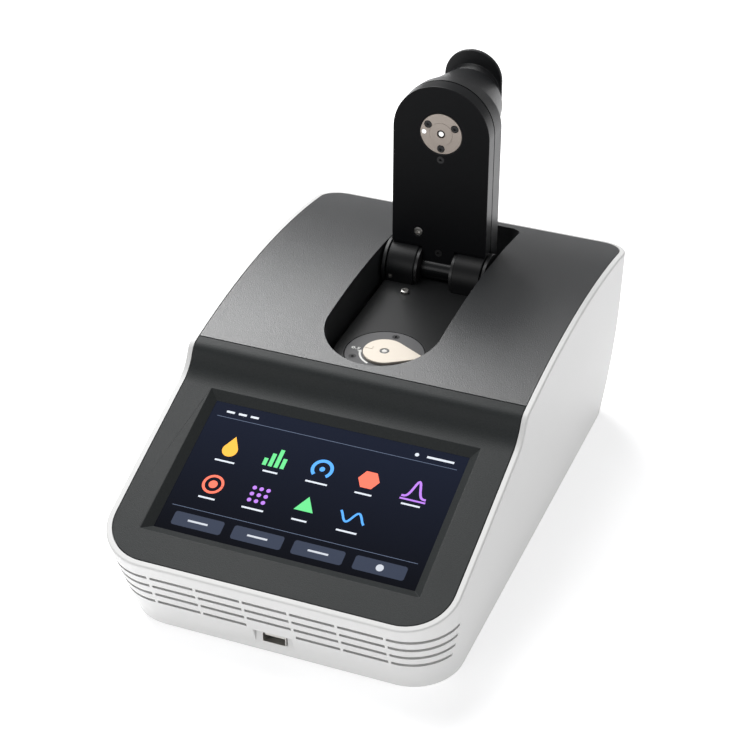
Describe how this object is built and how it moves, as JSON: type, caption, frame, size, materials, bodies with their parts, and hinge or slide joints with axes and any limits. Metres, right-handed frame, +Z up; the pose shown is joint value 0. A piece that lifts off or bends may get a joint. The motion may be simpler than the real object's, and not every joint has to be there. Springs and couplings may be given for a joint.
{
  "type": "microvolume spectrophotometer",
  "caption": "Bench microvolume spectrophotometer: wedge-shaped case with a sunken touch display, and a hinged measuring arm raised above a sample pedestal.",
  "frame": {"origin": "centre of the bounding box's underside, on the bench under the feet", "axes": "+X the instrument's right as its user sees the display from behind it, +Y its back, +Z up; the display faces -Y"},
  "size_m": [0.208, 0.3406, 0.2329],
  "materials": {
    "housing_plastic": "satin",
    "cover_plastic": "fine leather texture",
    "bezel_plastic": "fine leather texture",
    "glass_black": "gloss",
    "module_grey": "matte",
    "steel": "satin",
    "black_steel": "black oxide",
    "connector_black": "matte",
    "anodised_black": "black anodised",
    "champagne_metal": "fine bead blast",
    "cream_metal": "satin",
    "bright_metal": "polished",
    "rubber_black": "matte",
    "board_green": "solder resist",
    "arm_plastic": "satin",
    "rear_grey": "satin",
    "port_white": "satin"
  },
  "bodies": {
    "base": {"housing": "housing_plastic", "base_plate": "rear_grey", "feet": "rubber_black", "base_screws": "steel", "front_bezel": "bezel_plastic", "display_glass": "glass_black", "display_module": "module_grey", "display_bracket": "steel", "display_screws": "steel", "front_port_shell": "steel", "front_port_tongue": "port_white", "top_cover": "cover_plastic", "measuring_deck": "anodised_black", "deck_pillars": "steel", "pedestal_ring": "anodised_black", "ring_screws": "black_steel", "lower_bush": "bright_metal", "lower_ferrule": "steel", "hinge_knuckle_left": "anodised_black", "hinge_knuckle_right": "anodised_black", "hinge_friction_discs": "black_steel", "knuckle_screws": "steel", "set_screws": "steel", "stop_screw": "steel", "main_board": "board_green", "board_standoffs": "steel", "spectrometer_module": "anodised_black", "power_board": "board_green", "rear_panel": "rear_grey", "rear_panel_screws": "black_steel", "switch_frame": "connector_black", "power_jack": "connector_black", "power_jack_pin": "bright_metal", "data_port_shell": "steel", "data_port_tongue": "port_white"},
    "arm": {"arm_frame": "anodised_black", "arm_cover": "arm_plastic", "grip_cap": "arm_plastic", "arm_disc": "champagne_metal", "arm_disc_screws": "black_steel", "arm_disc_dowel": "bright_metal", "upper_ferrule": "bright_metal", "arm_screws": "black_steel", "arm_stop_screw": "steel", "lamp_module": "steel", "hinge_pin": "steel", "hinge_end_discs": "anodised_black"},
    "selector": {"selector_disc": "cream_metal"},
    "rocker": {"power_rocker": "connector_black"}
  },
  "joints": [
    {"name": "arm_hinge", "type": "hinge", "parent": "base", "child": "arm", "pos_m": [0, 0.104, 0.1086], "axis": [1, 0, 0], "range_deg": [0, 91.1]},
    {"name": "selector_turn", "type": "hinge", "parent": "base", "child": "selector", "pos_m": [0, 0.01025, 0.1045], "axis": [0, 0, 1], "range_deg": [0, 60]},
    {"name": "power_switch", "type": "hinge", "parent": "base", "child": "rocker", "pos_m": [0.038, 0.15517, 0.03044], "axis": [1, 0, 0], "range_deg": [0, 12]}
  ]
}
